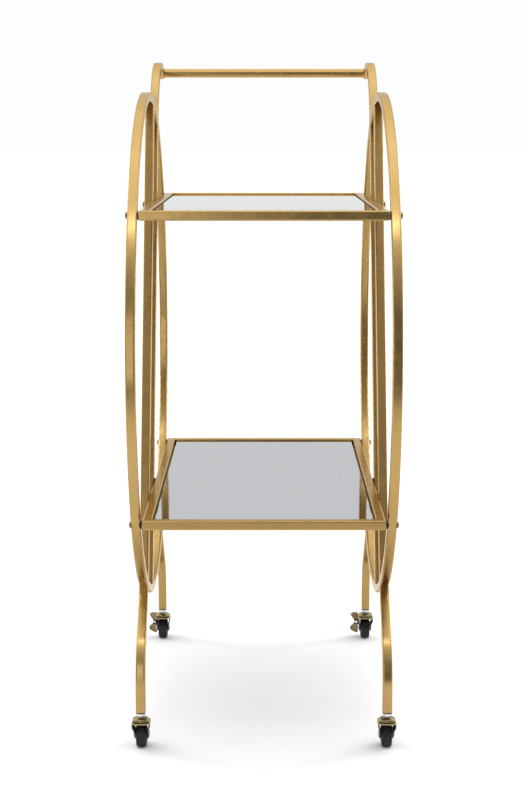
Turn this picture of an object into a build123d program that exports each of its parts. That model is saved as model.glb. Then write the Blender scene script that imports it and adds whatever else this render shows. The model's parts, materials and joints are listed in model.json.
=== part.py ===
"""A two-shelf bar cart: round tube hoops, leaning posts, a push handle and four casters.

Frame: millimetres, +Z up, origin on the floor under the middle of the cart.
The cart rolls along Y. The push handle is at the rear, +Y. X runs across it.
"""

import os
from math import asin, cos, degrees, radians, sin, sqrt

from build123d import *

os.makedirs("parts", exist_ok=True)

# ---------------------------------------------------------------- driving dimensions

TUBE = 15.0                 # square tube of the whole frame, outside
WALL = 1.2
TUBE_CORNER = 2.5           # outside corner radius of the tube

OUTER_WIDTH = 404.0         # across the outer faces of the two hoops
HOOP_RADIUS = 420.0         # outer radius
HOOP_CENTRE_Z = 610.0

POST_OFFSET = 58.8          # from the hoop's centre to a post, level with that centre
POST_LEAN = 19.24           # degrees from upright, tops towards the handle

HANDLE_BEND = 146.0         # radius of the arm's centre line
HANDLE_PAST_APEX = 24.6     # degrees that the arm carries on past its highest point
BAR_DIAMETER = 16.0

LEG_TOP_Y = 196.0           # where a leg leaves the underside of its hoop
LEG_FOOT_Y = 290.0          # the leg's foot, and the caster's swivel axis
LEG_SLOPE = 46.0            # degrees from upright along the leg's straight middle
LEG_UPPER_BEND = 100.0
LEG_LOWER_BEND = 105.0

SHELF_HALF_WIDTH = 185.0
SHELF_RISE = 234.0          # from the hoop's centre to the middle of each shelf frame
SHELF_END_MARGIN = 7.5      # from an end bolt to the end of the shelf frame
PANE_GAP = 2.0              # between a pane and the frame round it
PANE_THICKNESS = 5.0
PANE_DROP = 3.0             # from the top of the frame down to the pane
PANE_CORNER = 2.0
PANE_BEVEL = 0.8

BOLT_DIAMETER = 6.0
BOLT_HEAD_DIAMETER = 10.5
BOLT_HEAD_HEIGHT = 3.3
BOLT_HEAD_ROUND = 2.3
BOLT_KEY = 4.0              # across the flats of the hexagon socket
BOLT_KEY_DEPTH = 2.0
BOLT_LENGTH = 28.0

CASTER_HEIGHT = 60.0        # from the floor to the underside of the leg's socket
WHEEL_RADIUS = 20.0
WHEEL_WIDTH = 16.5
CASTER_TRAIL = 14.0         # from the swivel axis to the axle, all four towards +Y
STEM_DIAMETER = 8.0

# ---------------------------------------------------------------- sizes that follow

FRAME_X = (OUTER_WIDTH - TUBE) / 2
HOOP_INNER_RADIUS = HOOP_RADIUS - TUBE
HOOP_MID_RADIUS = HOOP_RADIUS - TUBE / 2
LEAN_SIN = sin(radians(POST_LEAN))
LEAN_COS = cos(radians(POST_LEAN))
END_BOLT_Y = sqrt(HOOP_MID_RADIUS**2 - SHELF_RISE**2)
SHELF_HALF_LENGTH = END_BOLT_Y + SHELF_END_MARGIN
SHELF_GAP = FRAME_X - TUBE / 2 - SHELF_HALF_WIDTH
SHELF_MIDDLES = {"lower": HOOP_CENTRE_Z - SHELF_RISE, "upper": HOOP_CENTRE_Z + SHELF_RISE}
PANE_HALF_WIDTH = SHELF_HALF_WIDTH - TUBE - PANE_GAP
PANE_HALF_LENGTH = SHELF_HALF_LENGTH - TUBE - PANE_GAP

SIDES = {"left": -1, "right": 1}
ENDS = {"front": -1, "rear": 1}

written = []


def save(piece, name):
    """Label a finished sub-part and write its STEP file."""
    piece.part.label = name
    export_step(piece.part, f"parts/{name}.step")
    written.append(name)


def side_plane(x):
    """The upright plane at x: local x is +Y and local y is +Z."""
    return Plane(origin=(x, 0, 0), x_dir=(0, 1, 0), z_dir=(1, 0, 0))


def front_plane(x, y):
    """The upright plane through (x, y): local x is +X and local y is +Z."""
    return Plane(origin=(x, y, 0), x_dir=(1, 0, 0), z_dir=(0, -1, 0))


def tube_section(width=TUBE, corner=TUBE_CORNER):
    """The rounded square tube's wall, drawn in the sketch that is open."""
    RectangleRounded(width, width, corner)
    RectangleRounded(width - 2 * WALL, width - 2 * WALL, corner - WALL, mode=Mode.SUBTRACT)


def post_y(end, z):
    """Where a post's centre line is at height z."""
    return end * POST_OFFSET + (z - HOOP_CENTRE_Z) * LEAN_SIN / LEAN_COS


def post_exit():
    """Where the rear post's line leaves the hoop's outer face, as (y, z)."""
    across = POST_OFFSET * LEAN_COS
    along = sqrt(HOOP_RADIUS**2 - across**2)
    return across * LEAN_COS + along * LEAN_SIN, HOOP_CENTRE_Z - across * LEAN_SIN + along * LEAN_COS


def along_post(distance):
    """A point on the rear post's line, measured up from the hoop's outer face."""
    y, z = post_exit()
    return y + distance * LEAN_SIN, z + distance * LEAN_COS


def shelf_bolt_ys(level):
    """The three bolts along each side of a shelf: hoop, post, hoop."""
    post_end = ENDS["front"] if level == "upper" else ENDS["rear"]
    return [-END_BOLT_Y, post_y(post_end, SHELF_MIDDLES[level]), END_BOLT_Y]


# ---------------------------------------------------------------- side frames

TONGUE_DEPTH = 52.0         # how far the handle's tongue reaches down from the hoop's outer face
TONGUE_SIZE = 12.2
TONGUE_CORNER = 1.1
TONGUE_HOLE = 12.5
TONGUE_RISE = 7.0           # degrees of the arm's bend that the tongue follows

SCREW_DEPTHS = (21.0, 38.0)  # down the rear post from the hoop's outer face
SCREW_DIAMETER = 4.0
SCREW_HOLE = 4.4
SCREW_HEAD_DIAMETER = 7.0
SCREW_HEAD_HEIGHT = 2.4
SCREW_HEAD_TAPER = 18.0
SCREW_LENGTH = 11.0
SCREW_CLEARANCE = 0.5       # beyond a screw's tip

BOLT_HOLE = 6.4
REACH = 30.0                # longer than any wall that a cutting shape has to clear


def post_wall_plane(x, depth):
    """A plane on the rear post's front face, facing out of it, at a depth below the hoop."""
    y, z = along_post(-depth)
    half = TUBE / 2
    return Plane(
        origin=(x, y - half * LEAN_COS, z + half * LEAN_SIN),
        x_dir=(1, 0, 0),
        z_dir=(0, -LEAN_COS, LEAN_SIN),
    )


def post_cross_plane(x, distance):
    """A plane square across the rear post's line, measured up from the hoop's outer face."""
    return Plane(origin=(x, *along_post(distance)), x_dir=(1, 0, 0), z_dir=(0, LEAN_SIN, LEAN_COS))


def hoop(side_name, side):
    x = side * FRAME_X
    with BuildPart() as piece:
        with BuildSketch(Plane(origin=(x, 0, HOOP_CENTRE_Z), x_dir=(0, 1, 0), z_dir=(0, 0, 1))):
            with Locations((HOOP_MID_RADIUS, 0)):
                tube_section()
        revolve(axis=Axis((x, 0, HOOP_CENTRE_Z), (1, 0, 0)))
        with BuildSketch(side_plane(x)):
            for level in SHELF_MIDDLES.values():
                with Locations((-END_BOLT_Y, level), (END_BOLT_Y, level)):
                    Circle(BOLT_HOLE / 2)
        extrude(amount=TUBE, both=True, mode=Mode.SUBTRACT)
        with BuildSketch(post_cross_plane(x, -TUBE - WALL)):
            Rectangle(TONGUE_HOLE, TONGUE_HOLE)
        extrude(amount=REACH, mode=Mode.SUBTRACT)
    save(piece, f"hoop_{side_name}")


def post(end_name, end, side_name, side):
    x = side * FRAME_X
    bolted_level = SHELF_MIDDLES["upper" if end_name == "front" else "lower"]
    with BuildPart() as piece:
        middle = Plane(
            origin=(x, end * POST_OFFSET, HOOP_CENTRE_Z), x_dir=(1, 0, 0), z_dir=(0, LEAN_SIN, LEAN_COS)
        )
        with BuildSketch(middle):
            tube_section()
        extrude(amount=HOOP_RADIUS * 1.1, both=True)
        with BuildSketch(side_plane(x)):
            with Locations((0, HOOP_CENTRE_Z)):
                Circle(HOOP_INNER_RADIUS)
        extrude(amount=TUBE, both=True, mode=Mode.INTERSECT)
        with BuildSketch(side_plane(x)):
            with Locations((post_y(end, bolted_level), bolted_level)):
                Circle(BOLT_HOLE / 2)
        extrude(amount=TUBE, both=True, mode=Mode.SUBTRACT)
        if end_name == "rear":
            for depth in SCREW_DEPTHS:
                with BuildSketch(post_wall_plane(x, depth)):
                    Circle(SCREW_HOLE / 2)
                extrude(amount=-3 * WALL, mode=Mode.SUBTRACT)
    save(piece, f"{end_name}_post_{side_name}")


for side_name, side in SIDES.items():
    hoop(side_name, side)
    for end_name, end in ENDS.items():
        post(end_name, end, side_name, side)

# ---------------------------------------------------------------- push handle

ARM_TURN = 90 - POST_LEAN + HANDLE_PAST_APEX
BAR_INSET = degrees(BAR_DIAMETER / 2 / HANDLE_BEND)     # from the arm's end back to the bar
BAR_WALL = 1.2
CAP_THICKNESS = 1.2


def arm_point(past_apex):
    """A point on the arm's centre line, in degrees past its highest point, as (y, z)."""
    y, z = post_exit()
    centre_y = y + HANDLE_BEND * LEAN_COS
    centre_z = z - HANDLE_BEND * LEAN_SIN
    turn = radians(past_apex)
    return centre_y + HANDLE_BEND * sin(turn), centre_z + HANDLE_BEND * cos(turn)


for side_name, side in SIDES.items():
    x = side * FRAME_X
    with BuildPart() as handle_arm:
        with BuildLine(side_plane(x)):
            Line(along_post(-TUBE), post_exit())
            JernArc(start=post_exit(), tangent=(LEAN_SIN, LEAN_COS), radius=HANDLE_BEND, arc_size=-ARM_TURN)
        with BuildSketch(post_cross_plane(x, -TUBE)):
            tube_section()
        sweep()
        with BuildSketch(side_plane(x)):
            with Locations((0, HOOP_CENTRE_Z)):
                Circle(HOOP_RADIUS)
        extrude(amount=TUBE, both=True, mode=Mode.SUBTRACT)
    save(handle_arm, f"handle_arm_{side_name}")

with BuildPart() as handle_tongues:
    for side in SIDES.values():
        x = side * FRAME_X
        with BuildLine(side_plane(x)):
            Line(along_post(-TONGUE_DEPTH), post_exit())
            JernArc(start=post_exit(), tangent=(LEAN_SIN, LEAN_COS), radius=HANDLE_BEND, arc_size=-TONGUE_RISE)
        with BuildSketch(post_cross_plane(x, -TONGUE_DEPTH)):
            RectangleRounded(TONGUE_SIZE, TONGUE_SIZE, TONGUE_CORNER)
        sweep()
    for side in SIDES.values():
        for depth in SCREW_DEPTHS:
            with BuildSketch(post_wall_plane(side * FRAME_X, depth)):
                Circle(SCREW_DIAMETER / 2)
            extrude(amount=-SCREW_LENGTH - SCREW_CLEARANCE, mode=Mode.SUBTRACT)
save(handle_tongues, "handle_tongues")

with BuildPart() as handle_screws:
    for side in SIDES.values():
        for depth in SCREW_DEPTHS:
            with BuildSketch(post_wall_plane(side * FRAME_X, depth)):
                Circle(SCREW_HEAD_DIAMETER / 2)
            extrude(amount=SCREW_HEAD_HEIGHT, taper=SCREW_HEAD_TAPER)
            with BuildSketch(post_wall_plane(side * FRAME_X, depth)):
                Circle(SCREW_DIAMETER / 2)
            extrude(amount=-SCREW_LENGTH)
save(handle_screws, "handle_screws")

bar_y, bar_z = arm_point(HANDLE_PAST_APEX - BAR_INSET)
with BuildPart() as handle_bar:
    with BuildSketch(Plane(origin=(0, bar_y, bar_z), x_dir=(0, 1, 0), z_dir=(1, 0, 0))):
        Circle(BAR_DIAMETER / 2)
        Circle(BAR_DIAMETER / 2 - BAR_WALL, mode=Mode.SUBTRACT)
    extrude(amount=FRAME_X - TUBE / 2, both=True)
save(handle_bar, "handle_bar")

end_y, end_z = arm_point(HANDLE_PAST_APEX)
with BuildPart() as handle_end_caps:
    for side in SIDES.values():
        cap_plane = Plane(
            origin=(side * FRAME_X, end_y, end_z),
            x_dir=(1, 0, 0),
            z_dir=(0, cos(radians(HANDLE_PAST_APEX)), -sin(radians(HANDLE_PAST_APEX))),
        )
        with BuildSketch(cap_plane):
            RectangleRounded(TUBE, TUBE, TUBE_CORNER)
        extrude(amount=CAP_THICKNESS)
save(handle_end_caps, "handle_end_caps")

# ---------------------------------------------------------------- legs

SOCKET_FLANGE = 1.5
SOCKET_SIZE = 12.4
SOCKET_CORNER = 1.25
SOCKET_LENGTH = 19.0
LEG_FOOT_Z = CASTER_HEIGHT + SOCKET_FLANGE
LEG_START_Z = HOOP_CENTRE_Z - sqrt(HOOP_RADIUS**2 - LEG_TOP_Y**2)
LEG_START_ANGLE = degrees(asin(LEG_TOP_Y / HOOP_RADIUS))    # square off the hoop


def leg(end_name, end, side_name, side):
    """An ogee leg: out from the hoop, straight along the slope, then upright at the foot."""
    x = side * FRAME_X
    first = radians(LEG_START_ANGLE)
    slope = radians(LEG_SLOPE)
    bends_y = LEG_UPPER_BEND * (cos(first) - cos(slope)) + LEG_LOWER_BEND * (1 - cos(slope))
    straight = (LEG_FOOT_Y - LEG_TOP_Y - bends_y) / sin(slope)
    with BuildPart() as piece:
        with BuildLine(side_plane(x)):
            inside = (end * (LEG_TOP_Y - TUBE * sin(first)), LEG_START_Z + TUBE * cos(first))
            stub = Line(inside, (end * LEG_TOP_Y, LEG_START_Z))
            upper = JernArc(
                start=stub @ 1,
                tangent=stub % 1,
                radius=LEG_UPPER_BEND,
                arc_size=end * (LEG_SLOPE - LEG_START_ANGLE),
            )
            middle = PolarLine(upper @ 1, straight, direction=upper % 1)
            lower = JernArc(
                start=middle @ 1, tangent=middle % 1, radius=LEG_LOWER_BEND, arc_size=-end * LEG_SLOPE
            )
            Line(lower @ 1, (end * LEG_FOOT_Y, LEG_FOOT_Z))
        section = Plane(
            origin=(x, *inside), x_dir=(1, 0, 0), z_dir=(0, end * sin(first), -cos(first))
        )
        with BuildSketch(section):
            tube_section()
        sweep()
        with BuildSketch(side_plane(x)):
            with Locations((0, HOOP_CENTRE_Z)):
                Circle(HOOP_RADIUS)
        extrude(amount=TUBE, both=True, mode=Mode.SUBTRACT)
    save(piece, f"{end_name}_leg_{side_name}")


for side_name, side in SIDES.items():
    for end_name, end in ENDS.items():
        leg(end_name, end, side_name, side)

FEET = [(side * FRAME_X, end * LEG_FOOT_Y) for side in SIDES.values() for end in ENDS.values()]

with BuildPart() as stem_sockets:
    with BuildSketch(Plane.XY.offset(CASTER_HEIGHT)):
        with Locations(*FEET):
            RectangleRounded(TUBE, TUBE, TUBE_CORNER)
    extrude(amount=SOCKET_FLANGE)
    with BuildSketch(Plane.XY.offset(LEG_FOOT_Z)):
        with Locations(*FEET):
            RectangleRounded(SOCKET_SIZE, SOCKET_SIZE, SOCKET_CORNER)
    extrude(amount=SOCKET_LENGTH)
    with BuildSketch(Plane.XY.offset(CASTER_HEIGHT)):
        with Locations(*FEET):
            Circle(STEM_DIAMETER / 2)
    extrude(amount=SOCKET_LENGTH + SOCKET_FLANGE, mode=Mode.SUBTRACT)
save(stem_sockets, "stem_sockets")

# ---------------------------------------------------------------- shelves

LEDGE_THICKNESS = 1.5
LEDGE_REACH = 12.0          # in from the frame's inner faces, under the edge of the pane
PAD_THICKNESS = 1.2
PAD_DIAMETER = 9.0
PAD_Y = 200.0               # the side pads, either side of the middle
NUT_HOLE = 9.0
NUT_FLANGE_DIAMETER = 11.0
NUT_FLANGE = 0.8
NUT_LENGTH = 11.5
WASHER_DIAMETER = 13.0
MITRE_HEIGHT = 2 * TUBE


def side_rail(level, side_name, side):
    z = SHELF_MIDDLES[level]
    edge = side * SHELF_HALF_WIDTH
    x = edge - side * TUBE / 2
    with BuildPart() as piece:
        with BuildSketch(Plane(origin=(x, 0, z), x_dir=(1, 0, 0), z_dir=(0, 1, 0))):
            tube_section()
        extrude(amount=SHELF_HALF_LENGTH, both=True)
        with BuildSketch(Plane.XY.offset(z)):
            inner = edge - side * TUBE
            outline = [
                (edge, -SHELF_HALF_LENGTH),
                (edge, SHELF_HALF_LENGTH),
                (inner, SHELF_HALF_LENGTH - TUBE),
                (inner, TUBE - SHELF_HALF_LENGTH),
            ]
            with BuildLine():
                Polyline(*outline, close=True)
            make_face()
        extrude(amount=MITRE_HEIGHT, both=True, mode=Mode.INTERSECT)
        with BuildSketch(Plane(origin=(edge, 0, z), x_dir=(0, 1, 0), z_dir=(1, 0, 0))):
            with Locations(*[(y, 0) for y in shelf_bolt_ys(level)]):
                Circle(NUT_HOLE / 2)
        extrude(amount=2 * WALL, both=True, mode=Mode.SUBTRACT)
    save(piece, f"{level}_side_rail_{side_name}")


def end_rail(level, end_name, end):
    z = SHELF_MIDDLES[level]
    edge = end * SHELF_HALF_LENGTH
    y = edge - end * TUBE / 2
    with BuildPart() as piece:
        with BuildSketch(Plane(origin=(0, y, z), x_dir=(0, 1, 0), z_dir=(1, 0, 0))):
            tube_section()
        extrude(amount=SHELF_HALF_WIDTH, both=True)
        with BuildSketch(Plane.XY.offset(z)):
            inner = edge - end * TUBE
            outline = [
                (-SHELF_HALF_WIDTH, edge),
                (SHELF_HALF_WIDTH, edge),
                (SHELF_HALF_WIDTH - TUBE, inner),
                (TUBE - SHELF_HALF_WIDTH, inner),
            ]
            with BuildLine():
                Polyline(*outline, close=True)
            make_face()
        extrude(amount=MITRE_HEIGHT, both=True, mode=Mode.INTERSECT)
    save(piece, f"{level}_end_rail_{end_name}")


def pad_places():
    """Centres of the pads that a pane rests on, along the middle of the ledges, as (x, y)."""
    inner_x = SHELF_HALF_WIDTH - TUBE - LEDGE_REACH / 2
    inner_y = SHELF_HALF_LENGTH - TUBE - LEDGE_REACH / 2
    sides = [(side * inner_x, end * PAD_Y) for side in SIDES.values() for end in ENDS.values()]
    return sides + [(0, end * inner_y) for end in ENDS.values()]


def shelf(level):
    top = SHELF_MIDDLES[level] + TUBE / 2
    pane_bottom = top - PANE_DROP - PANE_THICKNESS
    with BuildPart() as mirror:
        with BuildSketch(Plane.XY.offset(pane_bottom)):
            RectangleRounded(2 * PANE_HALF_WIDTH, 2 * PANE_HALF_LENGTH, PANE_CORNER)
        extrude(amount=PANE_THICKNESS)
        top_edges = mirror.faces().sort_by(Axis.Z)[-1].edges()
        chamfer(top_edges, PANE_BEVEL)
    save(mirror, f"{level}_mirror")

    with BuildPart() as pads:
        with BuildSketch(Plane.XY.offset(pane_bottom - PAD_THICKNESS)):
            with Locations(*pad_places()):
                Circle(PAD_DIAMETER / 2)
        extrude(amount=PAD_THICKNESS)
    save(pads, f"{level}_mirror_pads")

    inner_width = 2 * (SHELF_HALF_WIDTH - TUBE)
    inner_length = 2 * (SHELF_HALF_LENGTH - TUBE)
    with BuildPart() as ledges:
        with BuildSketch(Plane.XY.offset(pane_bottom - PAD_THICKNESS - LEDGE_THICKNESS)):
            Rectangle(inner_width, inner_length)
            Rectangle(inner_width - 2 * LEDGE_REACH, inner_length - 2 * LEDGE_REACH, mode=Mode.SUBTRACT)
        extrude(amount=LEDGE_THICKNESS)
    save(ledges, f"{level}_mirror_ledges")


def shelf_bolts(level):
    """Button-head bolts, from the outer face of the hoops and posts into the side rails."""
    with BuildPart() as piece:
        for side in SIDES.values():
            face = side * OUTER_WIDTH / 2
            places = [(y, SHELF_MIDDLES[level]) for y in shelf_bolt_ys(level)]
            with BuildSketch(side_plane(face)):
                with Locations(*places):
                    Circle(BOLT_HEAD_DIAMETER / 2)
            extrude(amount=side * BOLT_HEAD_HEIGHT)
            crown = piece.faces().sort_by(Axis.X)[-3:] if side > 0 else piece.faces().sort_by(Axis.X)[:3]
            fillet(crown.edges(), BOLT_HEAD_ROUND)
            with BuildSketch(side_plane(face + side * BOLT_HEAD_HEIGHT)):
                with Locations(*places):
                    RegularPolygon(BOLT_KEY / 2, 6, major_radius=False)
            extrude(amount=-side * BOLT_KEY_DEPTH, mode=Mode.SUBTRACT)
            with BuildSketch(side_plane(face)):
                with Locations(*places):
                    Circle(BOLT_DIAMETER / 2)
            extrude(amount=-side * BOLT_LENGTH)
    save(piece, f"{level}_shelf_bolts")


for level in SHELF_MIDDLES:
    for side_name, side in SIDES.items():
        side_rail(level, side_name, side)
    for end_name, end in ENDS.items():
        end_rail(level, end_name, end)
    shelf(level)
    shelf_bolts(level)

BOLT_PLACES = [(y, z) for level, z in SHELF_MIDDLES.items() for y in shelf_bolt_ys(level)]

with BuildPart() as spacer_washers:
    for side in SIDES.values():
        with BuildSketch(side_plane(side * (SHELF_HALF_WIDTH + NUT_FLANGE))):
            with Locations(*BOLT_PLACES):
                Circle(WASHER_DIAMETER / 2)
                Circle(BOLT_HOLE / 2, mode=Mode.SUBTRACT)
        extrude(amount=side * (SHELF_GAP - NUT_FLANGE))
save(spacer_washers, "spacer_washers")

with BuildPart() as rivet_nuts:
    for side in SIDES.values():
        with BuildSketch(side_plane(side * SHELF_HALF_WIDTH)):
            with Locations(*BOLT_PLACES):
                Circle(NUT_FLANGE_DIAMETER / 2)
        extrude(amount=side * NUT_FLANGE)
        with BuildSketch(side_plane(side * SHELF_HALF_WIDTH)):
            with Locations(*BOLT_PLACES):
                Circle(NUT_HOLE / 2)
        extrude(amount=-side * NUT_LENGTH)
        with BuildSketch(side_plane(side * (SHELF_HALF_WIDTH + NUT_FLANGE))):
            with Locations(*BOLT_PLACES):
                Circle(BOLT_DIAMETER / 2)
        extrude(amount=-side * (NUT_LENGTH + NUT_FLANGE), mode=Mode.SUBTRACT)
save(rivet_nuts, "rivet_nuts")

# ---------------------------------------------------------------- casters

NUT_ACROSS_FLATS = 13.0
NUT_HEIGHT = 5.0
CUP_TOP_Z = 53.0
CUP_BOTTOM_Z = 47.2
CUP_RADIUS = 13.5
CUP_PROFILE = [             # the cup's outer half, as (radius, height)
    (STEM_DIAMETER / 2, CUP_BOTTOM_Z),
    (CUP_RADIUS, CUP_BOTTOM_Z),
    (CUP_RADIUS, CUP_BOTTOM_Z + 1.2),
    (CUP_RADIUS - 1.6, CUP_TOP_Z - 0.9),
    (7.5, CUP_TOP_Z - 0.5),
    (6.5, CUP_TOP_Z),
    (STEM_DIAMETER / 2, CUP_TOP_Z),
]
CROWN_TOP_Z = 46.0
BALL_RADIUS = 1.5
BALL_PITCH_RADIUS = 10.0
BALL_COUNT = 14
BALL_Z = CROWN_TOP_Z + BALL_RADIUS + 0.05
GROOVE_RADIUS = BALL_RADIUS + 0.1
RIVET_HEAD_RADIUS = 6.0
RIVET_HEAD_HEIGHT = 1.5
RIVET_HEAD_EDGE = 0.8
STEM_POINT = 1.0

FORK_SHEET = 2.0
FORK_SHOULDER = 14.5        # half the fork's width under its crown
FORK_WAIST = 11.5           # half its width at the axle
FORK_BOTTOM_Z = 13.5
FORK_WAIST_Z = 28.0
FORK_SHOULDER_Z = 39.0
FORK_SIDE = [               # the fork from the side, as (y from the swivel axis, height)
    (-14.5, CROWN_TOP_Z),
    (-14.5, 41.0),
    (CASTER_TRAIL - 6.5, 17.5),
    (CASTER_TRAIL - 3.5, FORK_BOTTOM_Z),
    (CASTER_TRAIL + 3.5, FORK_BOTTOM_Z),
    (CASTER_TRAIL + 6.5, 17.5),
    (CASTER_TRAIL + 6.5, 27.0),
    (14.5, 39.0),
    (14.5, CROWN_TOP_Z),
]
CROWN_PLAN_RADIUS = 16.5
SWIVEL_HOLE_RADIUS = STEM_DIAMETER / 2 + 0.05

AXLE_RADIUS = 2.5
AXLE_HEAD_RADIUS = 4.5
AXLE_HEAD_HEIGHT = 1.8
AXLE_HEAD_TAPER = 25.0
WHEEL_BORE_RADIUS = AXLE_RADIUS + 0.05
HUB_RADIUS = 6.5
HUB_HALF_WIDTH = 9.3
RIM_INNER_RADIUS = 14.5
WEB_HALF_WIDTH = 4.5
WHEEL_PROFILE = [           # the wheel's right half, as (across, radius)
    (HUB_HALF_WIDTH, WHEEL_BORE_RADIUS),
    (HUB_HALF_WIDTH, HUB_RADIUS - 1),
    (HUB_HALF_WIDTH - 1, HUB_RADIUS),
    (WEB_HALF_WIDTH, HUB_RADIUS + 1),
    (WEB_HALF_WIDTH, RIM_INNER_RADIUS - 1),
    (WHEEL_WIDTH / 2, RIM_INNER_RADIUS),
    (WHEEL_WIDTH / 2, WHEEL_RADIUS - 2.2),
    (WHEEL_WIDTH / 2 - 0.66, WHEEL_RADIUS - 0.66),
    (WHEEL_WIDTH / 2 - 2.2, WHEEL_RADIUS),
]

STEM_TOP_Z = LEG_FOOT_Z + SOCKET_LENGTH - 1.0
HEAD_TOP_Z = CROWN_TOP_Z - FORK_SHEET - 0.2

with BuildPart() as stem_nuts:
    with BuildSketch(Plane.XY.offset(CASTER_HEIGHT - NUT_HEIGHT)):
        with Locations(*FEET):
            RegularPolygon(NUT_ACROSS_FLATS / 2, 6, major_radius=False)
            Circle(STEM_DIAMETER / 2, mode=Mode.SUBTRACT)
    extrude(amount=NUT_HEIGHT)
save(stem_nuts, "stem_nuts")

with BuildPart() as caster_stems:
    for x, y in FEET:
        with BuildSketch(front_plane(x, y)):
            with BuildLine():
                Polyline(
                    (0, HEAD_TOP_Z - RIVET_HEAD_HEIGHT),
                    (RIVET_HEAD_RADIUS - RIVET_HEAD_EDGE, HEAD_TOP_Z - RIVET_HEAD_HEIGHT),
                    (RIVET_HEAD_RADIUS, HEAD_TOP_Z - RIVET_HEAD_HEIGHT / 2),
                    (RIVET_HEAD_RADIUS, HEAD_TOP_Z),
                    (STEM_DIAMETER / 2, HEAD_TOP_Z),
                    (STEM_DIAMETER / 2, STEM_TOP_Z - STEM_POINT),
                    (STEM_DIAMETER / 2 - STEM_POINT, STEM_TOP_Z),
                    (0, STEM_TOP_Z),
                    close=True,
                )
            make_face()
        revolve(axis=Axis((x, y, 0), (0, 0, 1)))
save(caster_stems, "caster_stems")

with BuildPart() as caster_cups:
    for x, y in FEET:
        with BuildSketch(front_plane(x, y)):
            with BuildLine():
                Polyline(*CUP_PROFILE, close=True)
            make_face()
            with Locations((BALL_PITCH_RADIUS, BALL_Z)):
                Circle(GROOVE_RADIUS, mode=Mode.SUBTRACT)
        revolve(axis=Axis((x, y, 0), (0, 0, 1)))
save(caster_cups, "caster_cups")

with BuildPart() as swivel_balls:
    for x, y in FEET:
        with Locations(Location((x, y, BALL_Z))):
            with PolarLocations(BALL_PITCH_RADIUS, BALL_COUNT):
                Sphere(BALL_RADIUS)
save(swivel_balls, "swivel_balls")


# The brake is a rocking plate on a pin that stands along Y, behind the fork's left leg.
BRAKE_PIN_X = -16.0
BRAKE_PIN_Z = 28.0
BRAKE_PIN_RADIUS = 1.5
BRAKE_PIN_HEAD_RADIUS = 2.75
BRAKE_PIN_HEAD = 1.0
BRAKE_PIN_INNER_HEAD = 0.8
BRAKE_PIN_CLEARANCE = 0.05
LUG_REACH = 19.0            # from the caster's middle out to the lug's end
LUG_HALF_HEIGHT = 5.0
LUG_FACE = 8.4              # from the axle back to the lug's front face
LUG_SHEET = 1.5
LUG_STRAP = 3.4             # how far the lug's root runs forward along the fork's leg
LEVER_GAP = 0.2
LEVER_SHEET = 1.5
LEVER_CORNER = 1.2
LEVER_OUTLINE = [           # from the caster's middle, as (x, z)
    (-13.0, 46.0),
    (-22.5, 46.5),
    (-27.5, 42.5),
    (-20.0, 30.5),
    (-20.0, 26.0),
    (-27.5, 18.0),
    (-27.5, 12.5),
    (-21.0, 8.0),
    (-13.0, 5.5),
    (-13.0, 27.0),
    (-9.9, 30.0),
    (-9.9, 35.0),
    (-13.0, 37.0),
]


def fork_profile(inset):
    """Half of the fork seen from the front, inside its outline by inset, mirrored."""
    bottom = FORK_BOTTOM_Z - inset / 2
    right = [
        (FORK_WAIST - inset, bottom),
        (FORK_WAIST - inset, FORK_WAIST_Z),
        (FORK_SHOULDER - inset, FORK_SHOULDER_Z),
        (FORK_SHOULDER - inset, CROWN_TOP_Z - inset),
    ]
    return right + [(-x, z) for x, z in reversed(right)]


def fork(name, x, y, braked):
    axle_y = y + CASTER_TRAIL
    with BuildPart() as piece:
        with BuildSketch(front_plane(x, y)):
            with BuildLine():
                Polyline(*fork_profile(0), close=True)
            make_face()
            with BuildLine():
                Polyline(*fork_profile(FORK_SHEET), close=True)
            make_face(mode=Mode.SUBTRACT)
        extrude(amount=REACH, both=True)
        long_edges = piece.edges().filter_by(Axis.Y)
        crown_edges = long_edges.group_by(Axis.Z)[-1]
        fillet(crown_edges, FORK_SHEET)
        with BuildSketch(side_plane(x)):
            with BuildLine():
                Polyline(*[(y + behind, z) for behind, z in FORK_SIDE], close=True)
            make_face()
        extrude(amount=REACH, both=True, mode=Mode.INTERSECT)
        with BuildSketch():
            with Locations((x, y)):
                Circle(CROWN_PLAN_RADIUS)
            with Locations((x, y + REACH / 2)):
                Rectangle(2 * CROWN_PLAN_RADIUS, REACH)
        extrude(amount=CROWN_TOP_Z, mode=Mode.INTERSECT)
        if braked:
            lug_y = axle_y + LUG_FACE
            with BuildSketch(front_plane(x, lug_y)):
                with Locations((-(LUG_REACH + FORK_WAIST - FORK_SHEET) / 2, BRAKE_PIN_Z)):
                    Rectangle(LUG_REACH - FORK_WAIST + FORK_SHEET, 2 * LUG_HALF_HEIGHT)
                with Locations((BRAKE_PIN_X, BRAKE_PIN_Z)):
                    Circle(BRAKE_PIN_RADIUS, mode=Mode.SUBTRACT)
            extrude(amount=-LUG_SHEET)
            with BuildSketch(front_plane(x, lug_y)):
                with Locations((-(FORK_WAIST - FORK_SHEET / 2), BRAKE_PIN_Z)):
                    Rectangle(FORK_SHEET, 2 * LUG_HALF_HEIGHT)
            extrude(amount=LUG_STRAP)
        with BuildSketch():
            with Locations((x, y)):
                Circle(SWIVEL_HOLE_RADIUS)
        extrude(amount=CASTER_HEIGHT, mode=Mode.SUBTRACT)
        with BuildSketch(side_plane(x)):
            with Locations((axle_y, WHEEL_RADIUS)):
                Circle(AXLE_RADIUS)
        extrude(amount=REACH, both=True, mode=Mode.SUBTRACT)
    save(piece, f"caster_fork_{name}")


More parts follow.
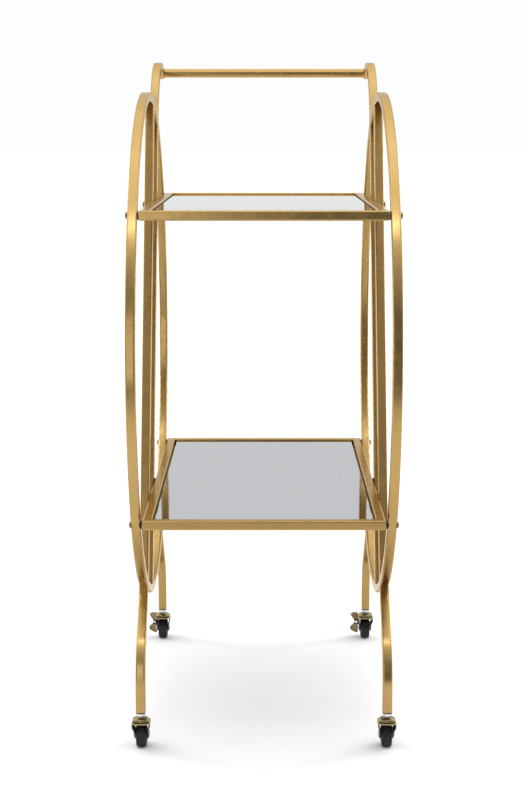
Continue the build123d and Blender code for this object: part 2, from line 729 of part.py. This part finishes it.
def axle(name, x, axle_y):
    with BuildPart() as piece:
        with BuildSketch(side_plane(x)):
            with Locations((axle_y, WHEEL_RADIUS)):
                Circle(AXLE_RADIUS)
        extrude(amount=FORK_WAIST, both=True)
        for way in SIDES.values():
            with BuildSketch(side_plane(x + way * FORK_WAIST)):
                with Locations((axle_y, WHEEL_RADIUS)):
                    Circle(AXLE_HEAD_RADIUS)
            extrude(amount=way * AXLE_HEAD_HEIGHT, taper=AXLE_HEAD_TAPER)
    save(piece, f"caster_axle_{name}")


def wheel(name, x, axle_y):
    left_half = [(-across, radius) for across, radius in reversed(WHEEL_PROFILE)]
    with BuildPart() as piece:
        with BuildSketch(Plane(origin=(x, axle_y, WHEEL_RADIUS), x_dir=(1, 0, 0), z_dir=(0, -1, 0))):
            with BuildLine():
                Polyline(*WHEEL_PROFILE, *left_half, close=True)
            make_face()
        revolve(axis=Axis((x, axle_y, WHEEL_RADIUS), (1, 0, 0)))
    save(piece, f"caster_wheel_{name}")


def brake(name, x, axle_y):
    """The rocking lever: a wing above the pin, a wing below it and a shoe beside the wheel."""
    plate_y = axle_y + LUG_FACE + LUG_SHEET + LEVER_GAP
    with BuildPart() as lever:
        with BuildSketch(front_plane(x, plate_y)):
            with BuildLine():
                Polyline(*LEVER_OUTLINE, close=True)
            make_face()
            fillet(vertices(), LEVER_CORNER)
            with Locations((BRAKE_PIN_X, BRAKE_PIN_Z)):
                Circle(BRAKE_PIN_RADIUS + BRAKE_PIN_CLEARANCE, mode=Mode.SUBTRACT)
        extrude(amount=-LEVER_SHEET)
    save(lever, f"brake_lever_{name}")

    inner_head_y = axle_y + LUG_FACE - BRAKE_PIN_INNER_HEAD
    outer_head_y = plate_y + LEVER_SHEET + LEVER_GAP
    shaft_length = outer_head_y - inner_head_y
    stages = [
        (inner_head_y, BRAKE_PIN_INNER_HEAD, BRAKE_PIN_HEAD_RADIUS),
        (inner_head_y, shaft_length, BRAKE_PIN_RADIUS),
        (outer_head_y, BRAKE_PIN_HEAD, BRAKE_PIN_HEAD_RADIUS),
    ]
    with BuildPart() as pin:
        for start_y, length, radius in stages:
            with BuildSketch(front_plane(x, start_y)):
                with Locations((BRAKE_PIN_X, BRAKE_PIN_Z)):
                    Circle(radius)
            extrude(amount=-length)
    save(pin, f"brake_pin_{name}")


for side_name, side in SIDES.items():
    for end_name, end in ENDS.items():
        x = side * FRAME_X
        y = end * LEG_FOOT_Y
        name = f"{end_name}_{side_name}"
        fork(name, x, y, end_name == "rear")
        axle(name, x, y + CASTER_TRAIL)
        wheel(name, x, y + CASTER_TRAIL)
        if end_name == "rear":
            brake(name, x, y + CASTER_TRAIL)

print(len(written), "sub-parts written")
print("swivel axes", [(round(x, 2), round(y, 2)) for x, y in FEET])
print("shelf half length", round(SHELF_HALF_LENGTH, 2), "handle bar at", round(bar_y, 2), round(bar_z, 2))
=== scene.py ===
# %% [markdown]
# # A rolling bar cart
#
# The cart is two big hoops of square gold tube with two mirror shelves bolted between them, a push bar at the
# back and four small swivel casters. The solid model arrives as a fixed frame, so every piece made here takes
# its place from the frame's own boxes, in metres. First the frame is loaded.

# %% Load the frame
import json
from math import pi, radians

import bmesh
import bpy
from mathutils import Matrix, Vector


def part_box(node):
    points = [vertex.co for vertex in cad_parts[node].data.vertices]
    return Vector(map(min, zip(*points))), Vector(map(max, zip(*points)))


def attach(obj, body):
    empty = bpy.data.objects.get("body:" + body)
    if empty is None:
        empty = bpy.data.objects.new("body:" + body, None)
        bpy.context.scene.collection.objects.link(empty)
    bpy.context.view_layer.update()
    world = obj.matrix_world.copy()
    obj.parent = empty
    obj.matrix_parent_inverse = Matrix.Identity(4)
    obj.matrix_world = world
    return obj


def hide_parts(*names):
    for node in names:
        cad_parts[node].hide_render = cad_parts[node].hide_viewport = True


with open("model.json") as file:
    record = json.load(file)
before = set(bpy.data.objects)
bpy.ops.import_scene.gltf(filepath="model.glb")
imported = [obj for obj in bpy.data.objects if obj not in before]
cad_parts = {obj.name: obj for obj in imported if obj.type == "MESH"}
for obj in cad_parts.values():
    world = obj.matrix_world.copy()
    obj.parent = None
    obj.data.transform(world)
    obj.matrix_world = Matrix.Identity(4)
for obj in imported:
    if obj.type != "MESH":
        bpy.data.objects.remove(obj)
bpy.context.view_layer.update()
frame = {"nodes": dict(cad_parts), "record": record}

nodes = frame["nodes"]
MM = 0.001

# %% [markdown]
# ## Camera
#
# The cart is seen square on from its front end, from a little under shoulder height and tilted slightly down.
# A long lens keeps the far hoop edges nearly as wide as the near ones. Sensor fit is left on automatic, so the
# lens works on the taller side of the picture.

# %% Camera
LENS = 75.84
CAMERA_PLACE = (0.0, -2.8391, 0.9730)
TILT_DOWN = 9.2  # degrees

camera_data = bpy.data.cameras.new("camera")
camera_data.sensor_width = 36.0
camera_data.lens = LENS
camera = bpy.data.objects.new("camera", camera_data)
camera.location = CAMERA_PLACE
camera.rotation_euler = (radians(90.0 - TILT_DOWN), 0.0, 0.0)
bpy.context.scene.collection.objects.link(camera)
bpy.context.scene.camera = camera
bpy.context.scene.view_settings.view_transform = "Standard"
print("camera at", tuple(camera.location), "lens", camera_data.lens)

# %% [markdown]
# ## Light and floor
#
# Metal shows what stands round it more than it shows its own colour. A studio for shiny furniture is a white
# room, lit from above, with the dimmer space behind the photographer as the one dark thing to reflect. The
# world gives that room: white behind the cart, grey towards the camera and brightest overhead, so that the
# floor comes out as white as the wall behind it. A tall soft box stands at the camera's left, one hangs over
# the camera and two stand at the sides, and they make the long highlights on the tubes. The floor turns grey
# behind the camera, where only the front faces of the tubes can see it.

# %% World
BEHIND_CART = 0.985
TOWARDS_CAMERA = 0.20
OVERHEAD = 0.95

world = bpy.data.worlds.new("studio")
bpy.context.scene.world = world
world.use_nodes = True
sky = world.node_tree
background = sky.nodes["Background"]
direction = sky.nodes.new("ShaderNodeTexCoord")
parts = sky.nodes.new("ShaderNodeSeparateXYZ")
wall = sky.nodes.new("ShaderNodeMapRange")
wall.interpolation_type = "SMOOTHSTEP"
wall.inputs["From Min"].default_value = -0.95
wall.inputs["From Max"].default_value = 0.25
wall.inputs["To Min"].default_value = TOWARDS_CAMERA
wall.inputs["To Max"].default_value = BEHIND_CART
ceiling = sky.nodes.new("ShaderNodeMapRange")
ceiling.inputs["From Min"].default_value = 0.3
ceiling.inputs["From Max"].default_value = 1.0
ceiling.inputs["To Min"].default_value = 0.0
ceiling.inputs["To Max"].default_value = OVERHEAD
total = sky.nodes.new("ShaderNodeMath")
total.operation = "ADD"
sky.links.new(direction.outputs["Generated"], parts.inputs[0])
sky.links.new(parts.outputs["Y"], wall.inputs["Value"])
sky.links.new(parts.outputs["Z"], ceiling.inputs["Value"])
sky.links.new(wall.outputs["Result"], total.inputs[0])
sky.links.new(ceiling.outputs["Result"], total.inputs[1])
sky.links.new(total.outputs[0], background.inputs["Color"])
background.inputs["Strength"].default_value = 1.0
print("world set, from", TOWARDS_CAMERA, "to", BEHIND_CART)


# %% Soft boxes
MIDDLE = (0.0, 0.0, 0.6)


def soft_box(name, place, width, height, power):
    """An area light that faces the middle of the cart."""
    data = bpy.data.lights.new(name, "AREA")
    data.shape = "RECTANGLE"
    data.size = width
    data.size_y = height
    data.energy = power
    light = bpy.data.objects.new(name, data)
    light.location = place
    light.rotation_euler = (Vector(MIDDLE) - Vector(place)).to_track_quat("-Z", "Y").to_euler()
    bpy.context.scene.collection.objects.link(light)
    return light


soft_box("front_box", (-0.75, -3.9, 0.95), 1.0, 1.9, 9.0)
soft_box("left_box", (-2.4, 0.9, 1.2), 0.7, 2.2, 20.0)
soft_box("right_box", (2.4, 0.9, 1.2), 0.7, 2.2, 20.0)
soft_box("front_top_box", (0.0, -1.55, 2.9), 1.6, 0.35, 5.0)
print("four soft boxes")

# %% Floor
FLOOR_SIZE = 60.0
PALE = 0.92
GREY = 0.16
PALE_FROM_Y = -1.15
GREY_FROM_Y = -3.0

floor_mesh = bmesh.new()
bmesh.ops.create_grid(floor_mesh, x_segments=1, y_segments=1, size=FLOOR_SIZE)
floor_data = bpy.data.meshes.new("floor")
floor_mesh.to_mesh(floor_data)
floor_mesh.free()
floor = bpy.data.objects.new("floor", floor_data)
bpy.context.scene.collection.objects.link(floor)
floor_paint = bpy.data.materials.new("floor_paint")
floor_paint.use_nodes = True
floor_shader = floor_paint.node_tree.nodes["Principled BSDF"]
floor_shader.inputs["Roughness"].default_value = 0.85
floor_shader.inputs["Specular IOR Level"].default_value = 0.1
floor_place = floor_paint.node_tree.nodes.new("ShaderNodeTexCoord")
floor_parts = floor_paint.node_tree.nodes.new("ShaderNodeSeparateXYZ")
fade = floor_paint.node_tree.nodes.new("ShaderNodeMapRange")
fade.interpolation_type = "SMOOTHSTEP"
fade.inputs["From Min"].default_value = GREY_FROM_Y
fade.inputs["From Max"].default_value = PALE_FROM_Y
fade.inputs["To Min"].default_value = GREY
fade.inputs["To Max"].default_value = PALE
floor_paint.node_tree.links.new(floor_place.outputs["Object"], floor_parts.inputs[0])
floor_paint.node_tree.links.new(floor_parts.outputs["Y"], fade.inputs["Value"])
floor_paint.node_tree.links.new(fade.outputs["Result"], floor_shader.inputs["Base Color"])
floor_data.materials.append(floor_paint)
print("floor laid")

# %% [markdown]
# ## Building finishes
#
# A finish is a shader and a few layers of noise over it: one for slow colour change, one for roughness and one
# for the fine relief. All of them read object coordinates, so the pattern stays on the piece when it turns.
# The helpers below add one such layer each, and every finish further on is a short recipe made from them.


# %% Material helpers
def start_material(name, colour, metallic, roughness):
    material = bpy.data.materials.new(name)
    material.use_nodes = True
    shader = material.node_tree.nodes["Principled BSDF"]
    shader.inputs["Base Color"].default_value = (*colour, 1.0)
    shader.inputs["Metallic"].default_value = metallic
    shader.inputs["Roughness"].default_value = roughness
    return material, shader


def speckle(material, scale, detail=3.0, stretch=(1.0, 1.0, 1.0)):
    """Noise on object coordinates, in features per metre, stretched along an axis if asked."""
    tree = material.node_tree
    place = tree.nodes.new("ShaderNodeTexCoord")
    mapping = tree.nodes.new("ShaderNodeMapping")
    mapping.inputs["Scale"].default_value = stretch
    noise = tree.nodes.new("ShaderNodeTexNoise")
    noise.inputs["Scale"].default_value = scale
    noise.inputs["Detail"].default_value = detail
    tree.links.new(place.outputs["Object"], mapping.inputs["Vector"])
    tree.links.new(mapping.outputs["Vector"], noise.inputs["Vector"])
    return noise.outputs["Fac"]


def spread(material, value, low, high, from_low=0.35, from_high=0.65):
    """Noise turned into a number between low and high."""
    tree = material.node_tree
    ranged = tree.nodes.new("ShaderNodeMapRange")
    ranged.inputs["From Min"].default_value = from_low
    ranged.inputs["From Max"].default_value = from_high
    ranged.inputs["To Min"].default_value = low
    ranged.inputs["To Max"].default_value = high
    tree.links.new(value, ranged.inputs["Value"])
    return ranged.outputs["Result"]


def two_tone(material, value, first, second):
    """A colour that runs from first to second as value goes from 0 to 1. Either may be a socket."""
    tree = material.node_tree
    mix = tree.nodes.new("ShaderNodeMix")
    mix.data_type = "RGBA"
    for index, colour in ((6, first), (7, second)):
        if isinstance(colour, tuple):
            mix.inputs[index].default_value = (*colour, 1.0)
        else:
            tree.links.new(colour, mix.inputs[index])
    tree.links.new(value, mix.inputs[0])
    return mix.outputs[2]


def relief(material, shader, height, depth, below=None):
    """Bump of a given depth in metres, laid over another normal if there is one."""
    tree = material.node_tree
    bump = tree.nodes.new("ShaderNodeBump")
    bump.inputs["Distance"].default_value = depth
    bump.inputs["Strength"].default_value = 1.0
    tree.links.new(height, bump.inputs["Height"])
    if below is not None:
        tree.links.new(below, bump.inputs["Normal"])
    tree.links.new(bump.outputs["Normal"], shader.inputs["Normal"])


def height_mask(material, low, high):
    """0 below low and 1 above high, up the piece."""
    tree = material.node_tree
    place = tree.nodes.new("ShaderNodeTexCoord")
    parts = tree.nodes.new("ShaderNodeSeparateXYZ")
    tree.links.new(place.outputs["Object"], parts.inputs[0])
    return spread(material, parts.outputs["Z"], 0.0, 1.0, low, high)


def feed(material, socket, shader_input):
    material.node_tree.links.new(socket, shader_input)


def edge_mask(material, radius):
    """1 along edges and 0 on flats: how far a rounded-over normal leans from the true one."""
    tree = material.node_tree
    rounded = tree.nodes.new("ShaderNodeBevel")
    rounded.samples = 4
    rounded.inputs["Radius"].default_value = radius
    true = tree.nodes.new("ShaderNodeNewGeometry")
    lean = tree.nodes.new("ShaderNodeVectorMath")
    lean.operation = "DOT_PRODUCT"
    tree.links.new(rounded.outputs["Normal"], lean.inputs[0])
    tree.links.new(true.outputs["Normal"], lean.inputs[1])
    return spread(material, lean.outputs["Value"], 1.0, 0.0, 0.86, 0.99), rounded.outputs["Normal"]


print("material helpers ready")

# %% [markdown]
# ## Gold powder coat
#
# The whole frame is sprayed with a satin champagne-gold powder. Up close it has fine metal flakes, a faint
# orange-peel surface and slow changes of tone where the coat is thicker. Its colour is also painted a little
# brighter along the tube's corners, a painted highlight for the light the rounded corners catch. A plain
# metallic colour would look like cast plastic, so the flakes, the peel and the painted corner highlight each
# get a layer of their own.

# %% Gold powder coat
gold_paint, shader = start_material("gold_paint", (0.44, 0.285, 0.102), 1.0, 0.26)
tone = two_tone(
    gold_paint,
    spread(gold_paint, speckle(gold_paint, 14.0), 0.0, 1.0),
    (0.42, 0.272, 0.095),
    (0.455, 0.297, 0.108),
)
flakes = two_tone(
    gold_paint,
    spread(gold_paint, speckle(gold_paint, 5200.0, 1.0), 0.0, 0.14, 0.52, 0.72),
    tone,
    (0.66, 0.49, 0.25),
)
# Painted highlight: the base colour turns lighter along the tube's corners, standing in for the light the
# rounded corners catch.
painted_corner_highlight, soft_normal = edge_mask(gold_paint, 0.0012)
feed(gold_paint, two_tone(gold_paint, painted_corner_highlight, flakes, (0.49, 0.33, 0.13)), shader.inputs["Base Color"])
feed(gold_paint, spread(gold_paint, speckle(gold_paint, 60.0, 4.0), 0.20, 0.28), shader.inputs["Roughness"])
relief(gold_paint, shader, speckle(gold_paint, 700.0, 2.0), 0.000005, soft_normal)
shader.inputs["Specular Tint"].default_value = (0.80, 0.70, 0.52, 1.0)
shader.inputs["Coat Weight"].default_value = 0.15
shader.inputs["Coat Roughness"].default_value = 0.2
print("gold powder coat")

# %% [markdown]
# ## Mirror, pads and plated metal
#
# The shelves are silvered glass. What shows is the silver under a few millimetres of faintly green glass, with
# dust and wiping marks that only a change of roughness can show. The small parts are plated: bright zinc on
# stems, axles and nuts, and a yellow zinc with drifting straw and olive tints on cups and brake levers.

# %% Mirror
mirror, shader = start_material("mirror", (0.62, 0.63, 0.645), 1.0, 0.03)
shader.inputs["Specular Tint"].default_value = (0.74, 0.75, 0.76, 1.0)
wiped = speckle(mirror, 9.0, 4.0, (1.0, 0.35, 1.0))
feed(mirror, spread(mirror, wiped, 0.012, 0.06), shader.inputs["Roughness"])
dust = spread(mirror, speckle(mirror, 1500.0, 1.0), 0.0, 0.25, 0.66, 0.78)
feed(mirror, two_tone(mirror, dust, (0.62, 0.63, 0.645), (0.52, 0.53, 0.54)), shader.inputs["Base Color"])
relief(mirror, shader, speckle(mirror, 3.0, 1.0), 0.00002)

glass_edge, shader = start_material("glass_edge", (0.16, 0.30, 0.25), 0.0, 0.12)
shader.inputs["Specular IOR Level"].default_value = 0.8
feed(
    glass_edge,
    two_tone(glass_edge, speckle(glass_edge, 40.0), (0.12, 0.25, 0.20), (0.26, 0.40, 0.35)),
    shader.inputs["Base Color"],
)

backing_paint, shader = start_material("backing_paint", (0.22, 0.23, 0.24), 0.0, 0.6)
feed(
    backing_paint,
    two_tone(backing_paint, speckle(backing_paint, 25.0, 4.0), (0.19, 0.20, 0.21), (0.26, 0.27, 0.28)),
    shader.inputs["Base Color"],
)
relief(backing_paint, shader, speckle(backing_paint, 700.0), 0.00002)
print("mirror, its edge and its backing")


# %% Plated metal
def plated(name, dark, light, roughness_low, roughness_high, patch=90.0, brushed=(1.0, 1.0, 1.0)):
    """Plating: two tints that drift over the piece, edges painted lighter as a painted highlight, and fine
    lines that break up the reflection.
    """
    material, shader = start_material(name, dark, 1.0, roughness_low)
    drift = spread(material, speckle(material, patch, 3.0), 0.0, 1.0)
    # Painted highlight: the colour turns lighter along every edge, up to a quarter brighter than the light
    # tint.
    painted_edge_highlight, soft_normal = edge_mask(material, 0.0004)
    tint = two_tone(material, drift, dark, light)
    bright = tuple(min(1.0, channel * 1.25) for channel in light)
    feed(material, two_tone(material, painted_edge_highlight, tint, bright), shader.inputs["Base Color"])
    lines = speckle(material, 1400.0, 2.0, brushed)
    feed(material, spread(material, lines, roughness_low, roughness_high), shader.inputs["Roughness"])
    relief(material, shader, lines, 0.000008, soft_normal)
    return material


bright_zinc = plated("bright_zinc", (0.56, 0.57, 0.58), (0.72, 0.72, 0.70), 0.14, 0.30)
yellow_zinc = plated("yellow_zinc", (0.17, 0.135, 0.06), (0.30, 0.245, 0.12), 0.20, 0.36, 60.0)
gold_fasteners = plated("gold_fasteners", (0.20, 0.14, 0.06), (0.34, 0.25, 0.115), 0.18, 0.32)
bare_steel = plated("bare_steel", (0.42, 0.42, 0.43), (0.55, 0.55, 0.55), 0.25, 0.42, 40.0, (1.0, 1.0, 0.1))
print("plated metals")


# %% Black parts
CROWN_EDGE = (0.0427, 0.0431)  # heights between which a fork turns from black to brassy


def moulded(name, dark, light, roughness_low, roughness_high, coarse):
    """Moulded plastic or rubber: a fine leathery grain, with scuffs that are a little lighter and duller."""
    material, shader = start_material(name, dark, 0.0, roughness_low)
    shader.inputs["Specular IOR Level"].default_value = 0.3
    scuffs = spread(material, speckle(material, coarse, 5.0), 0.0, 1.0, 0.48, 0.72)
    feed(material, two_tone(material, scuffs, dark, light), shader.inputs["Base Color"])
    dullness = spread(material, scuffs, roughness_low, roughness_high, 0.0, 1.0)
    feed(material, dullness, shader.inputs["Roughness"])
    relief(material, shader, speckle(material, 2600.0, 2.0), 0.00002)
    return material, shader


black_wheel, _ = moulded("black_wheel", (0.005, 0.005, 0.006), (0.018, 0.018, 0.017), 0.34, 0.55, 220.0)
black_plastic, _ = moulded("black_plastic", (0.018, 0.018, 0.018), (0.04, 0.04, 0.04), 0.42, 0.62, 150.0)
clear_pads, _ = moulded("clear_pads", (0.62, 0.64, 0.65), (0.74, 0.76, 0.76), 0.25, 0.45, 90.0)
# Painted shade: the fork is coloured black below the crown edge, standing in for the dark reflections and
# shade on its legs; the brassy band above is the crown's own plating.
fork_paint, shader = moulded("fork_paint", (0.008, 0.008, 0.009), (0.03, 0.028, 0.025), 0.22, 0.40, 180.0)
crown = height_mask(fork_paint, *CROWN_EDGE)
black = shader.inputs["Base Color"].links[0].from_socket
feed(fork_paint, two_tone(fork_paint, crown, black, (0.34, 0.27, 0.12)), shader.inputs["Base Color"])
feed(fork_paint, crown, shader.inputs["Metallic"])
print("black parts")

# %% [markdown]
# ## Dressing the frame
#
# Each node of the frame names a material slot, so one table from slot to finish dresses all of them. The
# finish goes on the object's own material slot, and the node's mesh is left alone.

# %% Dress the nodes
FINISHES = {
    "gold_paint": gold_paint,
    "mirror": mirror,
    "clear_pads": clear_pads,
    "gold_fasteners": gold_fasteners,
    "bare_steel": bare_steel,
    "black_plastic": black_plastic,
    "bright_zinc": bright_zinc,
    "yellow_zinc": yellow_zinc,
    "fork_paint": fork_paint,
    "black_wheel": black_wheel,
}


def dress(piece, material):
    if not piece.material_slots:
        piece.data.materials.append(None)
    for holder in piece.material_slots:
        holder.link = "OBJECT"
        holder.material = material


for entry in frame["record"]["subparts"]:
    dress(nodes[entry["node"]], FINISHES[entry["material_slot"]])

# %% [markdown]
# ## Pieces made here
#
# Some small parts are plain turned or cut solids in the frame, and they get finer ones here: panes with a real
# bevel and three surfaces, spun caster cups with a soft shoulder, nuts with turned-down corners. Each starts
# from a few vertices or a cube, is closed, and takes its place from the box of the node it stands for.


# %% Piece helpers
def make_piece(name, mesh, finishes, body, *nodes_replaced):
    """Close a mesh, give it finishes, let it ride on a body and stand for the nodes named."""
    bmesh.ops.remove_doubles(mesh, verts=mesh.verts, dist=1e-6)
    bmesh.ops.recalc_face_normals(mesh, faces=mesh.faces)
    data = bpy.data.meshes.new(name)
    mesh.to_mesh(data)
    mesh.free()
    for finish in finishes:
        data.materials.append(finish)
    piece = bpy.data.objects.new(name, data)
    bpy.context.scene.collection.objects.link(piece)
    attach(piece, body)
    if nodes_replaced:
        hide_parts(*nodes_replaced)
    return piece


def turn(mesh, profile, centre, axis, across, steps):
    """Turn a closed profile of (radius, along) points round an axis through centre."""
    rim = [mesh.verts.new(centre + across * radius + axis * along) for radius, along in profile]
    edges = [mesh.edges.new((rim[i - 1], rim[i])) for i in range(len(rim))]
    bmesh.ops.spin(
        mesh, geom=rim + edges, cent=centre, axis=axis, angle=2 * pi, steps=steps, use_merge=True
    )


def round_over(mesh, edges, width, segments):
    """Bevel some edges, in flats when there is one segment."""
    bmesh.ops.bevel(
        mesh,
        geom=edges,
        offset=width,
        offset_type="OFFSET",
        affect="EDGES",
        segments=segments,
        profile=0.5,
        material=-1,
    )


def smooth(piece, below_degrees):
    """Shade faces smooth where they meet at less than an angle."""
    limit = radians(below_degrees)
    shell = bmesh.new()
    shell.from_mesh(piece.data)
    for face in shell.faces:
        face.smooth = True
    for edge in shell.edges:
        edge.smooth = edge.calc_face_angle(0.0) < limit
    shell.to_mesh(piece.data)
    shell.free()


UP = Vector((0, 0, 1))
RIGHT = Vector((1, 0, 0))
print("piece helpers ready")

# %% Panes
PANE_BEVEL = 1.6 * MM
PANE_CORNER = 2 * MM
SILVER, EDGE, BACK = range(3)

for level in ("lower", "upper"):
    low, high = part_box(f"{level}_mirror")
    pane = bmesh.new()
    bmesh.ops.create_cube(pane, size=1.0)
    for corner in pane.verts:
        share = corner.co + Vector((0.5, 0.5, 0.5))
        corner.co = Vector([low[i] + share[i] * (high[i] - low[i]) for i in range(3)])
    upright = [e for e in pane.edges if abs(e.verts[0].co.z - e.verts[1].co.z) > 1 * MM]
    round_over(pane, upright, PANE_CORNER, 4)
    top = max(v.co.z for v in pane.verts)
    rim = [e for e in pane.edges if min(v.co.z for v in e.verts) > top - 1e-6 and len(e.link_faces) == 2]
    round_over(pane, rim, PANE_BEVEL, 2)
    for face in pane.faces:
        face.normal_update()
        if face.normal.z > 0.3:
            face.material_index = SILVER
        elif face.normal.z < -0.9:
            face.material_index = BACK
        else:
            face.material_index = EDGE
    finishes = (mirror, glass_edge, backing_paint)
    made = make_piece(f"{level}_pane", pane, finishes, "frame", f"{level}_mirror")
    smooth(made, 20.0)
    print(made.name, len(made.data.polygons), "faces, top at", round(high.z, 4))

# %% Cups
CUP_RADIUS = 13.5
STEM_RADIUS = 4.0
GROOVE_INNER = 8.4
GROOVE_OUTER = 11.6
GROOVE_DEPTH = 1.9
CUP_STEPS = 40

cups_low, cups_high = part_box("caster_cups")
foot_x = cups_high.x - CUP_RADIUS * MM
foot_y = cups_high.y - CUP_RADIUS * MM
cup_bottom = cups_low.z / MM
cup_top = cups_high.z / MM
CUP_PROFILE = [
    (STEM_RADIUS, cup_bottom),
    (GROOVE_INNER, cup_bottom),
    (GROOVE_INNER, cup_bottom + GROOVE_DEPTH),
    (GROOVE_OUTER, cup_bottom + GROOVE_DEPTH),
    (GROOVE_OUTER, cup_bottom),
    (CUP_RADIUS - 0.3, cup_bottom),
    (CUP_RADIUS, cup_bottom + 0.3),
    (CUP_RADIUS, cup_bottom + 1.4),
    (CUP_RADIUS - 0.3, cup_bottom + 2.3),
    (12.6, cup_top - 2.2),
    (11.5, cup_top - 1.4),
    (9.8, cup_top - 0.9),
    (7.4, cup_top - 0.7),
    (6.8, cup_top - 0.2),
    (6.2, cup_top),
    (STEM_RADIUS, cup_top),
]
feet = [Vector((x, y, 0)) for x in (-foot_x, foot_x) for y in (-foot_y, foot_y)]
cups = bmesh.new()
for foot in feet:
    turn(cups, [(radius * MM, along * MM) for radius, along in CUP_PROFILE], foot, UP, RIGHT, CUP_STEPS)
made = make_piece("spun_cups", cups, (yellow_zinc,), "frame", "caster_cups")
smooth(made, 35.0)
print(made.name, len(made.data.polygons), "faces at", round(foot_x, 4), round(foot_y, 4))

# %% Nuts
NUT_CORNER_RADIUS = 7.4 * MM
NUT_CHAMFER = 0.5 * MM

nuts_low, nuts_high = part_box("stem_nuts")
nut_height = nuts_high.z - nuts_low.z
nuts = bmesh.new()
for foot in feet:
    ring = bmesh.ops.create_circle(nuts, cap_ends=True, segments=6, radius=NUT_CORNER_RADIUS)["verts"]
    raised = bmesh.ops.extrude_face_region(nuts, geom=list(ring[0].link_faces))["geom"]
    lifted = [corner for corner in raised if isinstance(corner, bmesh.types.BMVert)]
    for corner in lifted:
        corner.co.z += nut_height
    for corner in {*ring, *lifted}:
        corner.co += foot + UP * nuts_low.z
flat_rims = [e for e in nuts.edges if abs(e.verts[0].co.z - e.verts[1].co.z) < 1e-6]
round_over(nuts, flat_rims, NUT_CHAMFER, 1)
made = make_piece("chamfered_nuts", nuts, (bright_zinc,), "frame", "stem_nuts")
print(made.name, len(made.data.polygons), "faces")
